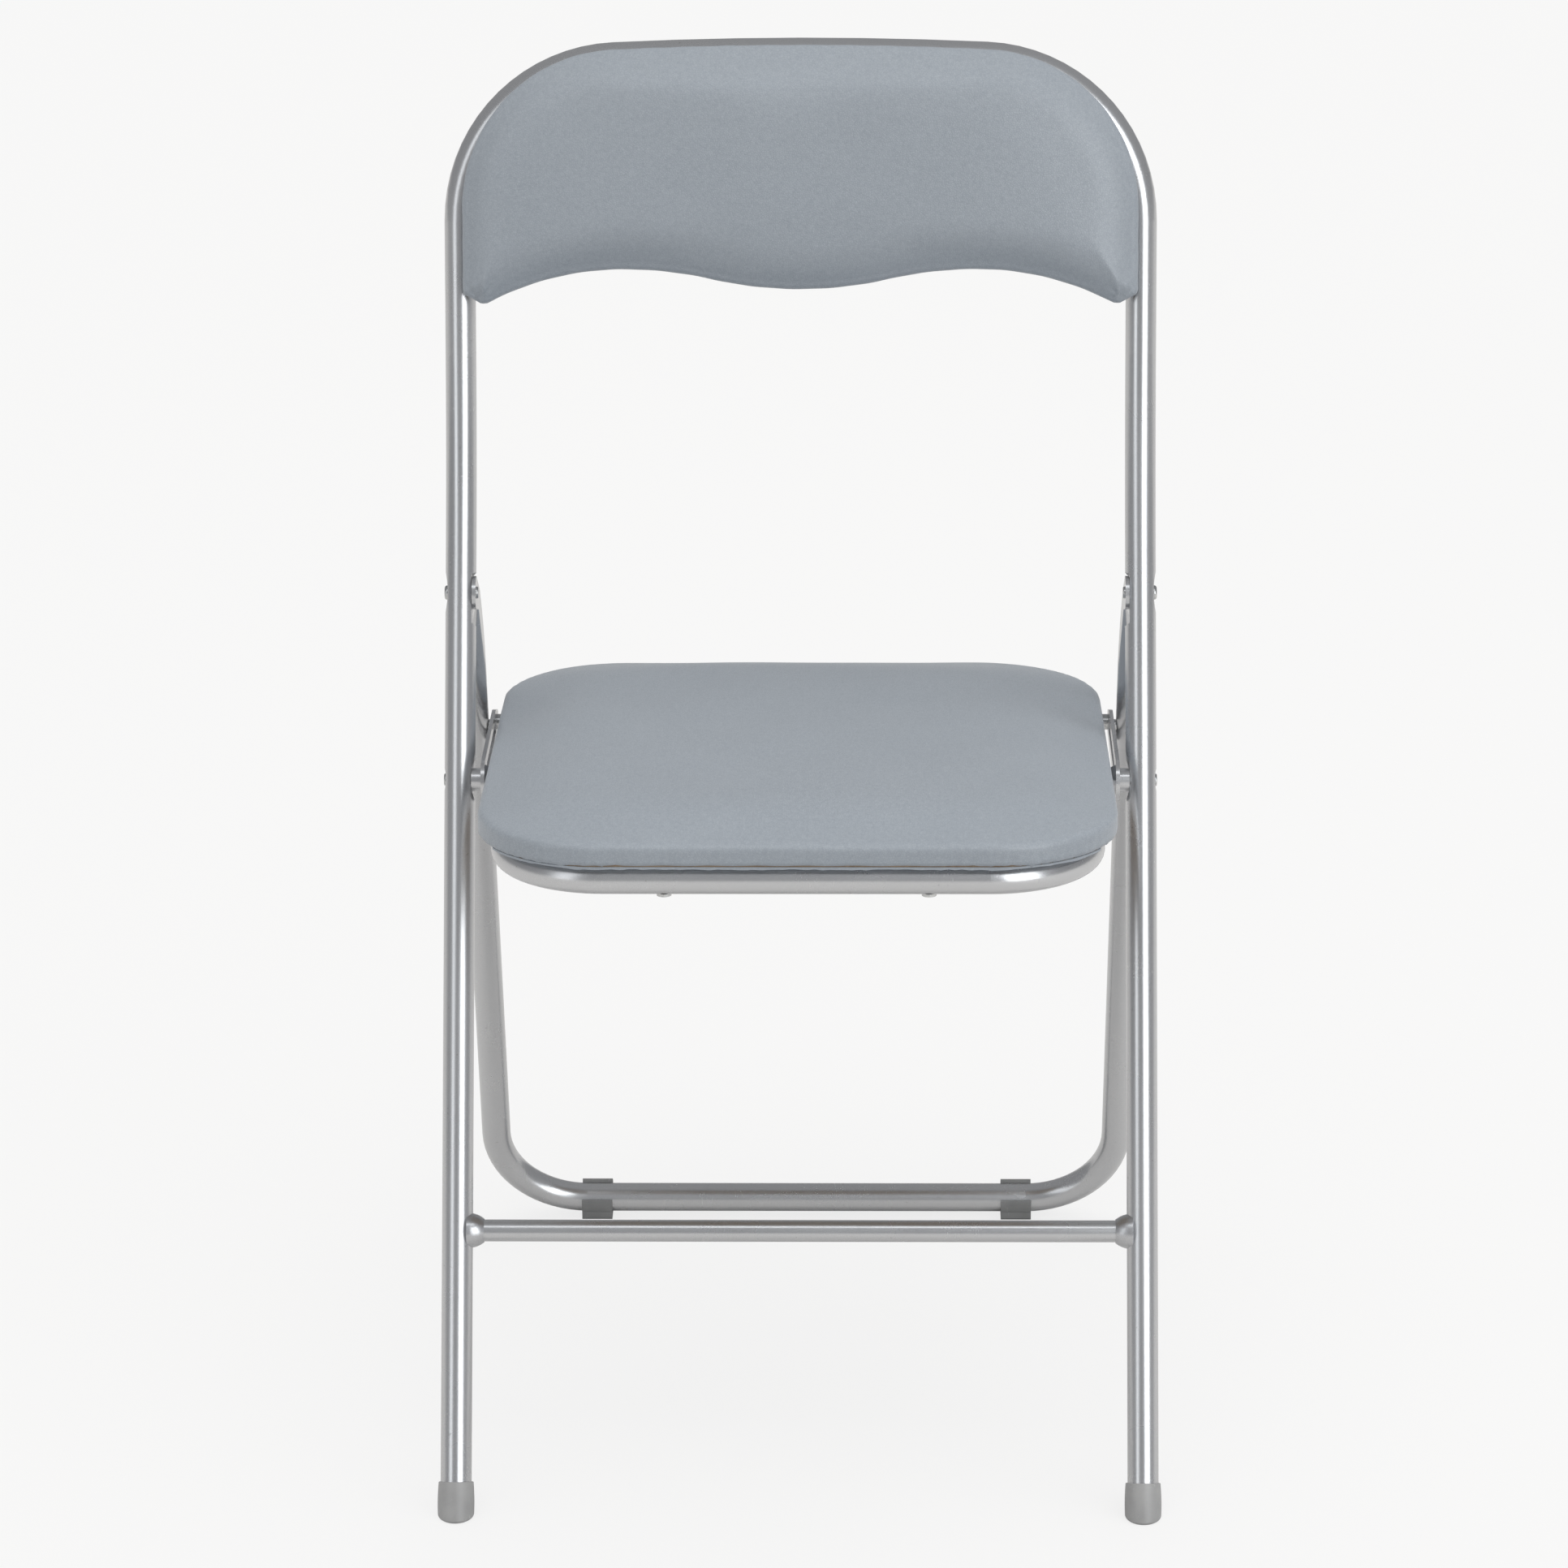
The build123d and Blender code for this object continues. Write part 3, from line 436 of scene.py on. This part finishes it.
def back_outline():
    """Backrest panel seen from the front: bowed top, round shoulders, waved lower edge."""
    half_w, top, corner, bow = 0.208, 0.005, 0.097, 2.4          # bow: radius of the top
    crest_x, crest, dip, tip_r = 0.109, -0.1321, -0.1443, 0.180   # of the waved lower edge
    side_end, foot_x, foot_v = -0.1450, 0.1965, -0.1531           # of the lower corners
    turn = math.asin((half_w - corner) / (bow - corner))
    centre = top - bow + (bow - corner) * math.cos(turn)
    turn = math.degrees(turn)

    def wave(run, rise):
        """Radius and turn of the two equal arcs that make a wave."""
        radius = (run ** 2 + rise ** 2) / (4 * abs(rise))
        return radius, math.degrees(math.asin(run / 2 / radius))
    dip_r, dip_turn = wave(crest_x, crest - dip)
    tip_turn = math.asin((half_w - 0.012 - crest_x) / (tip_r + 0.012))
    tip = (crest_x + tip_r * math.sin(tip_turn), crest - tip_r + tip_r * math.cos(tip_turn))
    tip_turn = math.degrees(tip_turn)
    half = [arc(0, top - bow, bow, 90, 90 - turn),
            arc(half_w - corner, centre, corner, 90 - turn, 0),
            line(half_w, centre, half_w, side_end), line(half_w, side_end, 0.2073, -0.1472),
            line(0.2073, -0.1472, foot_x, foot_v), line(foot_x, foot_v, 0.1930, -0.1528),
            line(0.1930, -0.1528, *tip), arc(crest_x, crest - tip_r, tip_r, 90 - tip_turn, 90),
            arc(crest_x, crest - dip_r, dip_r, 90, 90 + dip_turn),
            arc(0, dip + dip_r, dip_r, 270 + dip_turn, 270)]
    half = np.concatenate(half)
    other = half[1:][::-1] * (-1, 1)
    return np.concatenate([half, [[0.0, dip]], other])


class Edge:
    """An outline that says how far inside it a point lies, and which way is out."""

    def __init__(self, outline):
        self.points = outline
        along = np.roll(outline, -1, 0) - np.roll(outline, 1, 0)
        along /= np.linalg.norm(along, axis=1)[:, None]
        self.out = np.stack([-along[:, 1], along[:, 0]], -1)
        self.tree = KDTree(len(outline))
        for index, (x, y) in enumerate(outline):
            self.tree.insert((x, y, 0.0), index)
        self.tree.balance()
        steps = np.linalg.norm(np.diff(outline, axis=0), axis=1)
        self.length = np.concatenate([[0], np.cumsum(steps)])

    def measure(self, xy):
        """Distance inside, outward direction and place along the outline of each point."""
        found = np.array([self.tree.find((x, y, 0.0))[1] for x, y in xy])
        depth = -np.einsum("ij,ij->i", xy - self.points[found], self.out[found])
        return depth, self.out[found], self.length[found]


# A cushion's cross-section: height of its wall and of its middle, the reach and the power of
# the rise between them, and the radii of the fold underneath and of the ridge on top
Profile = namedtuple("Profile", "wall height reach power fold_r ridge_r")
SEAT_PROFILE = Profile(0.0136, 0.0222, 0.074, 3.0, 0.0016, 0.0030)
BACK_PROFILE = Profile(0.0085, 0.0205, 0.034, 2.8, 0.0014, 0.0050)
DEEPEST = 0.26         # farther inside than any point of a cushion
UNDER_POINTS, TURN_POINTS, TOP_POINTS = 120, 9, 240


def dome(depth, profile):
    """Top surface: the wall's height at the edge, rising as one minus a power of what is left."""
    left = 1 - np.clip(depth, 0, profile.reach) / profile.reach
    return profile.wall + (profile.height - profile.wall) * (1 - left ** profile.power)


def section(profile):
    """The pad's cross-section as (depth, height) points from underneath, round the wall, over."""
    fold_r, ridge_r = profile.fold_r, profile.ridge_r
    low = np.radians(np.linspace(-90, -180, TURN_POINTS))
    high = np.radians(np.linspace(180, 105, TURN_POINTS))
    under = [(d, 0.0) for d in np.linspace(DEEPEST, fold_r, UNDER_POINTS)]
    fold = np.stack([fold_r + fold_r * np.cos(low), fold_r + fold_r * np.sin(low)], -1)
    ridge_z = profile.wall - ridge_r * 0.45
    ridge = np.stack([ridge_r + ridge_r * np.cos(high), ridge_z + ridge_r * np.sin(high)], -1)
    d = np.linspace(ridge[-1, 0], DEEPEST, TOP_POINTS)
    lift, fade = ridge[-1, 1] - dome(ridge[-1:, 0], profile), 0.02
    top = dome(d, profile) + lift * np.clip(1 - (d - d[0]) / fade, 0, 1)
    return np.concatenate([under, fold, ridge, np.stack([d, top], -1)])


def onto_section(depth, z, curve):
    """The nearest point of the cross-section for each (depth, height), by segment."""
    best = np.full(len(depth), 1e9)
    out = np.zeros((len(depth), 2))
    point = np.stack([depth, z], -1)
    for a, b in zip(curve[:-1], curve[1:]):
        ab = b - a
        f = np.clip(((point - a) @ ab) / (ab @ ab + 1e-12), 0, 1)[:, None]
        q = a + f * ab
        gap = ((point - q) ** 2).sum(1)
        near = gap < best
        best[near], out[near] = gap[near], q[near]
    return out


# ------------------------------------------------------------------ cushions
def rough_pad(outline, centre, curve):
    """A closed first shape: the outline drawn in along the cross-section, ring by ring."""
    rim_width, crown_width = 0.045, 0.03
    spokes = outline[::3] - centre
    reach = np.linalg.norm(spokes, axis=1)
    top = curve[-TOP_POINTS:]

    def ring(share, z):
        return np.concatenate([centre + spokes * share[:, None], np.full((len(spokes), 1), z)], 1)
    rim = curve[curve[:, 0] < rim_width]
    rings = [ring(1 - np.minimum(d / reach, 0.9), z) for d, z in rim[::4]]
    last = rim[-1][0]
    for k in np.linspace(1, 0, 8)[1:-1]:
        z = np.interp(last + (1 - k) * crown_width, *top.T)
        rings.append(ring((1 - np.minimum(last / reach, 0.9)) * k, z))
    return closed_rings(rings, centre, rings[0][0, 2], rings[-1][0, 2])


def evaluated_mesh(thing):
    """The mesh of an object with its modifiers applied, as a new mesh."""
    graph = bpy.context.evaluated_depsgraph_get()
    return bpy.data.meshes.new_from_object(thing.evaluated_get(graph))


def vertex_array(mesh):
    """The mesh's vertices as rows of x, y, z."""
    co = np.empty(len(mesh.vertices) * 3)
    mesh.vertices.foreach_get("co", co)
    return co.reshape(-1, 3)


def subdivided(mesh, co):
    """A copy of the mesh with its vertices at co, after one smooth subdivision."""
    copy = mesh.copy()
    copy.vertices.foreach_set("co", co.ravel())
    copy.update()
    thing = bpy.data.objects.new("pad_work", copy)
    bpy.context.scene.collection.objects.link(thing)
    step = thing.modifiers.new("smooth", "SUBSURF")
    step.levels = step.render_levels = 1
    bpy.context.view_layer.update()
    made = evaluated_mesh(thing)
    bpy.data.objects.remove(thing)
    return made


def inflate(mesh, held_below, pressure, cap):
    """Cloth with air inside, held along its wall and underside; returns how far points moved.

    The movement is smoothed over neighbouring points, so that no crease of the coarse mesh
    stays, and eased off towards the cap.
    """
    last_frame, smoothing_rounds, share_of_neighbours = 20, 30, 0.6
    start = vertex_array(mesh)
    thing = bpy.data.objects.new("pad_cloth", mesh.copy())
    bpy.context.scene.collection.objects.link(thing)
    pin = thing.vertex_groups.new(name="held")
    pin.add(np.flatnonzero(start[:, 2] < held_below).tolist(), 1.0, "REPLACE")
    cloth = thing.modifiers.new("cloth", "CLOTH")
    cloth.settings.quality = 5
    cloth.settings.mass = 0.35
    cloth.settings.tension_stiffness = cloth.settings.compression_stiffness = 28
    cloth.settings.shear_stiffness = 12
    cloth.settings.bending_stiffness = 2.5
    cloth.settings.vertex_group_mass = "held"
    cloth.settings.use_pressure = True
    cloth.settings.uniform_pressure_force = pressure
    cloth.settings.effector_weights.gravity = 0
    cloth.collision_settings.use_collision = False
    cloth.point_cache.frame_start, cloth.point_cache.frame_end = 1, last_frame
    for number in range(1, last_frame + 1):
        bpy.context.scene.frame_set(number)
    final = vertex_array(evaluated_mesh(thing))
    bpy.data.objects.remove(thing)
    bpy.context.scene.frame_set(1)
    moved = final - start
    ends = np.array([tuple(e.vertices) for e in mesh.edges])
    loose = start[:, 2] >= held_below
    count = np.bincount(ends.ravel(), minlength=len(start))[:, None]
    for _ in range(smoothing_rounds):
        near = np.zeros_like(moved)
        np.add.at(near, ends[:, 0], moved[ends[:, 1]])
        np.add.at(near, ends[:, 1], moved[ends[:, 0]])
        mean = near / count
        moved[loose] += share_of_neighbours * (mean - moved)[loose]
    far = np.linalg.norm(moved, axis=1)[:, None] + 1e-9
    return moved * (np.tanh(far / cap) * cap / far)


def waves(xy, seed, size, count=9):
    """Soft unevenness from -1 to 1: a few crossing sine waves of about the given length."""
    rng = np.random.default_rng(seed)
    turn, phase = rng.uniform(0, 2 * math.pi, (2, count))
    pace = 2 * math.pi / size * rng.uniform(0.6, 1.5, count)
    arg = xy[:, :1] * (pace * np.cos(turn)) + xy[:, 1:2] * (pace * np.sin(turn)) + phase
    return np.sin(arg).sum(1) / math.sqrt(count * 2)


AIR_PRESSURE = 1.6     # of the cloth simulation
FREE_OVER = 0.003      # height over which the held wall gives way to the free top


def cushion(name, outline, centre, place, profile, held, cell, hem, cap, body, node_name, puckers):
    """A vinyl cover: remeshed pad, inflated as cloth, set on its cross-section, opened under.

    The points keep the exact cross-section, plus what the cloth moved above the held height (up
    to the cap), plus small puckers along the fold. cell is the size of the remeshed cells and hem
    the width that is turned under. Returns the outline's Edge.
    """
    edge = Edge(outline)
    curve = section(profile)
    points, faces = rough_pad(outline, np.array(centre), curve)
    mesh = bpy.data.meshes.new(name + "_rough")
    mesh.from_pydata(points.tolist(), [], faces)
    mesh.update()
    thing = bpy.data.objects.new(name + "_rough", mesh)
    bpy.context.scene.collection.objects.link(thing)
    remesh = thing.modifiers.new("cells", "REMESH")
    remesh.mode, remesh.voxel_size = "VOXEL", cell
    bpy.context.view_layer.update()
    even = evaluated_mesh(thing)
    bpy.data.objects.remove(thing)

    start = vertex_array(even)
    moved = inflate(even, held, AIR_PRESSURE, cap)
    fine = subdivided(even, start)
    base = vertex_array(fine).copy()
    drift = vertex_array(subdivided(even, start + moved)) - base

    depth, out, along = edge.measure(base[:, :2])
    target = onto_section(depth, base[:, 2], curve)
    base[:, :2] += out * (depth - target[:, 0])[:, None]
    base[:, 2] = target[:, 1]
    free = np.clip((base[:, 2] - held) / FREE_OVER, 0, 1)
    base += drift * free[:, None]
    base[:, 2] += free * 0.00035 * waves(base[:, :2], 7, 0.10)
    base = puckers(base, target[:, 0], out, along)

    polygons = np.array([tuple(p.vertices) for p in fine.polygons])
    flat_under = base[polygons][:, :, 2].max(1) < 0.0004
    under = flat_under & (target[polygons, 0].min(1) > hem)
    keep = polygons[~under]
    used, renumbered = np.unique(keep, return_inverse=True)
    keep, base = renumbered.reshape(keep.shape), base[used]
    ends = np.sort(np.stack([keep, np.roll(keep, -1, 1)], -1).reshape(-1, 2), 1)
    pairs, times = np.unique(ends, axis=0, return_counts=True)
    rim = np.unique(pairs[times == 1])
    depth, out, along = edge.measure(base[rim, :2])
    ragged = 0.0009 * np.sin(along * 190) * np.sin(along * 71)
    base[rim, :2] += out * (depth - hem - ragged)[:, None]

    piece = mesh_piece(name, place(*base.T), keep, "vinyl", body)
    skin = piece.modifiers.new("thickness", "SOLIDIFY")
    skin.thickness, skin.offset = 0.0009, -1
    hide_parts(node_name)
    return edge


def foam(name, edge, centre, place, profile, floor, body, node_name):
    """The foam under a cover: rings drawn in to the centre, domed like the cover, flat below."""
    inset, room_above, ring_count = 0.0050, 0.0042, 16
    centre = np.array(centre)
    ring = edge.points[::6] - edge.out[::6] * inset
    shares = np.linspace(1, 0, ring_count)[:-1]
    flats = [centre + (ring - centre) * share for share in shares]
    low = [np.insert(xy, 2, floor, 1) for xy in flats[::-1]]
    high = [np.insert(xy, 2, dome(edge.measure(xy)[0] - 0.003, profile) - room_above, 1)
            for xy in flats]
    points, faces = closed_rings(low + high, centre, floor, high[-1][:, 2].max())
    piece = mesh_piece(name, place(*points.T), faces, "foam", body)
    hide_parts(node_name)


def seat_puckers(base, depth, out, along):
    """Small pleats round the front corners and light ones along the fold, fading upwards."""
    wall, pleat_length, soft_length, nick_width = 0.013, 0.0083, 0.030, 0.0022
    fade = np.clip(1 - base[:, 2] / wall, 0, 1) * np.exp(-(depth / 0.004) ** 2)
    corner = np.exp(-((np.abs(base[:, 0]) - 0.150) / 0.030) ** 2) * (base[:, 1] < -0.12)
    pleat = np.sin(along * 2 * math.pi / pleat_length + 2 * np.sin(along * 31))
    soft = np.sin(along * 2 * math.pi / soft_length + np.sin(along * 17))
    nick = sum(np.exp(-((base[:, 0] - x) / nick_width) ** 2) * (base[:, 1] < -0.15)
               for x in (-0.131, -0.106, 0.104, 0.126))
    shift = fade * (0.00032 * corner * pleat + 0.00018 * soft - 0.0004 * nick)
    base[:, :2] += out * shift[:, None]
    return base


def back_puckers(base, depth, out, along):
    """Folds that run in from the two lower corners, and light ones along the fold."""
    wall, soft_length, corner_x, corner_v = 0.010, 0.024, 0.197, -0.1505
    fade = np.clip(1 - base[:, 2] / wall, 0, 1) * np.exp(-(depth / 0.004) ** 2)
    base[:, :2] += out * (fade * 0.0002 * np.sin(along * 2 * math.pi / soft_length))[:, None]
    for side in (-1, 1):
        dx, dv = base[:, 0] - side * corner_x, base[:, 1] - corner_v
        reach = np.hypot(dx, dv)
        turn = np.arctan2(dv, -side * dx)
        near = np.exp(-(reach / 0.012) ** 2) * np.clip(reach / 0.004, 0, 1)
        base[:, 2] += 0.0006 * np.cos(turn * 9 + 1.0) * near * (base[:, 2] > 0.008)
    return base


def seat_place(x, y, z):
    """A point of the seat cushion, its height counted from the cushion's underside."""
    return on_seat(x, y, z + SEAT_PAD_BASE)


def back_place(x, v, z):
    """A point of the backrest cushion, its height counted from the cushion's back."""
    return on_back(x, v, z + BACK_PAD_BASE)


SEAT_CENTRE, BACK_CENTRE = (0.0, -0.014), (0.0, -0.068)
seat_edge = cushion("seat_cushion_vinyl", seat_outline(), SEAT_CENTRE, seat_place, SEAT_PROFILE,
                    held=0.0112, cell=0.0046, hem=0.030, cap=0.0045, body="seat",
                    node_name="seat_cover", puckers=seat_puckers)
foam("seat_cushion_foam", seat_edge, SEAT_CENTRE, seat_place, SEAT_PROFILE, floor=0.0104,
     body="seat", node_name="seat_foam")
back_edge = cushion("backrest_cushion_vinyl", back_outline(), BACK_CENTRE, back_place,
                    BACK_PROFILE, held=0.0066, cell=0.0038, hem=0.010, cap=0.0030,
                    body="main_frame", node_name="backrest_cover", puckers=back_puckers)
foam("backrest_cushion_foam", back_edge, BACK_CENTRE, back_place, BACK_PROFILE, floor=0.0064,
     body="main_frame", node_name="backrest_foam")


def cut_edge(edge):
    """Trimmed vinyl that hangs a little below the fold at the seat's front.

    A thin closed ribbon along the front of the outline; its lower edge follows two sine waves
    and a few random snips.
    """
    front_end, snips = -0.165, 90
    front = np.flatnonzero(edge.points[:, 1] < front_end)
    front = front[np.argsort(edge.points[front, 0])][::2]
    p, out = edge.points[front], edge.out[front]
    s = np.linspace(0, 1, len(p))
    rng = np.random.default_rng(3)
    snip = np.interp(s, np.linspace(0, 1, snips), rng.uniform(0, 1, snips) ** 3)
    ends = np.sin(math.pi * np.clip(s, 0.001, 0.999)) ** 0.3
    drop = (0.0004 + 0.0003 * np.sin(s * 41) * np.sin(s * 9) + 0.0008 * snip) * ends
    outer, inner, above = 0.0009, 0.0014, np.full_like(s, 0.0010)
    rows = []
    for inset, z in ((outer, above), (outer, -drop), (inner, -drop), (inner, above)):
        xy = p - out * inset
        rows.append(seat_place(xy[:, 0], xy[:, 1], z))
    grid = np.stack(rows, 1)
    n = len(p)
    faces = ring_quads(n, 4) + [[0, 1, 2, 3], [n * 4 - 1, n * 4 - 2, n * 4 - 3, n * 4 - 4]]
    mesh_piece("seat_vinyl_cut_edge", grid.reshape(-1, 3), faces, "vinyl", "seat", False)


cut_edge(seat_edge)


# ------------------------------------------------------------------ floor, light, camera
def stage_plane():
    """A pale floor; seen straight it also glows a little, so that it stays even and light."""
    size = 14.0
    mesh = bpy.data.meshes.new("studio_floor")
    mesh.from_pydata([(-size, -size, 0), (size, -size, 0), (size, size, 0), (-size, size, 0)], [],
                     [(0, 1, 2, 3)])
    floor = bpy.data.objects.new("studio_floor", mesh)
    bpy.context.scene.collection.objects.link(floor)
    made, tree, shader = new_material("pale_floor", Roughness=0.9, Specular_IOR_Level=0.1,
                                      Emission_Strength=0.78)
    shader.inputs["Base Color"].default_value = (0.12, 0.12, 0.12, 1.0)
    shader.inputs["Emission Color"].default_value = (1.0, 1.0, 1.0, 1.0)
    plain = node(tree, "ShaderNodeBsdfDiffuse", {"Color": (0.62, 0.62, 0.62, 1.0)})
    path = node(tree, "ShaderNodeLightPath")
    mix = node(tree, "ShaderNodeMixShader", {0: path.outputs["Is Camera Ray"],
               1: plain.outputs[0], 2: shader.outputs[0]})
    tree.links.new(mix.outputs[0], tree.nodes["Material Output"].inputs["Surface"])
    mesh.materials.append(made)


def softbox(name, place, aim, wide, tall, power, mirrored=True, diffuse=True):
    """A cool soft panel; it can be kept out of reflections, or out of the broad light."""
    light = bpy.data.lights.new(name, "AREA")
    light.shape = "RECTANGLE"
    light.size, light.size_y, light.energy = wide, tall, power
    light.color = (0.96, 0.985, 1.0)
    item = bpy.data.objects.new(name, light)
    item.location = place
    item.rotation_euler = (Vector(aim) - Vector(place)).to_track_quat("-Z", "Y").to_euler()
    item.visible_glossy, item.visible_diffuse = mirrored, diffuse
    bpy.context.scene.collection.objects.link(item)


def add_camera():
    """Long lens, a little to the right of the middle, looking down at about 21 degrees."""
    lens, sensor = 137.888, 36.0
    turn, pitch, roll = math.radians(0.9), math.radians(21.04), math.radians(-0.30)
    ahead, height, aside = 3.273, 1.740, 0.0070
    front_feet_y = -0.21865
    camera = bpy.data.cameras.new("view")
    camera.sensor_width, camera.lens = sensor, lens
    item = bpy.data.objects.new("view", camera)
    spin = Matrix.Rotation(turn, 4, "Z")
    place = spin @ Vector((-aside, -ahead, height))
    look = spin @ Matrix.Rotation(math.pi / 2 - pitch, 4, "X") @ Matrix.Rotation(roll, 4, "Z")
    item.matrix_world = Matrix.Translation(place + Vector((0, front_feet_y, 0))) @ look
    bpy.context.scene.collection.objects.link(item)
    bpy.context.scene.camera = item


def add_world():
    """Even pale light all round; mirror-like surfaces see a darker, greyer room instead."""
    world = bpy.data.worlds.new("studio")
    world.use_nodes = True
    tree = world.node_tree
    pale = tree.nodes["Background"]
    pale.inputs["Color"].default_value = (1.0, 0.995, 0.985, 1.0)
    pale.inputs["Strength"].default_value = 0.80
    dark = node(tree, "ShaderNodeBackground", {"Color": (0.290, 0.295, 0.305, 1.0),
                "Strength": 1.0})
    path = node(tree, "ShaderNodeLightPath")
    mix = node(tree, "ShaderNodeMixShader", {0: path.outputs["Is Glossy Ray"],
               1: pale.outputs[0], 2: dark.outputs[0]})
    tree.links.new(mix.outputs[0], tree.nodes["World Output"].inputs["Surface"])
    bpy.context.scene.world = world


def overhead_sun():
    """Broad warm light from above, kept out of reflections."""
    light = bpy.data.lights.new("overhead", "SUN")
    light.energy, light.angle, light.color = 1.40, math.radians(70), (1.0, 0.965, 0.915)
    item = bpy.data.objects.new("overhead", light)
    item.rotation_euler = (math.radians(8), math.radians(4), 0)
    item.visible_glossy = False
    bpy.context.scene.collection.objects.link(item)


stage_plane()
add_camera()
add_world()
bpy.context.scene.view_settings.view_transform = "Standard"
softbox("left_strip", (-2.65, -3.10, 1.75), (0, 0, 0.6), 1.5, 3.4, 20, diffuse=False)
softbox("right_strip", (2.20, -3.40, 1.75), (0, 0, 0.6), 2.3, 3.4, 84, diffuse=False)
softbox("front_top", (0.1, -1.7, 3.6), (0, 0, 0.5), 3.0, 0.8, 14, diffuse=False)
softbox("right_side", (2.6, -1.2, 1.9), (0, 0, 0.7), 2.4, 2.4, 22, mirrored=False)
overhead_sun()
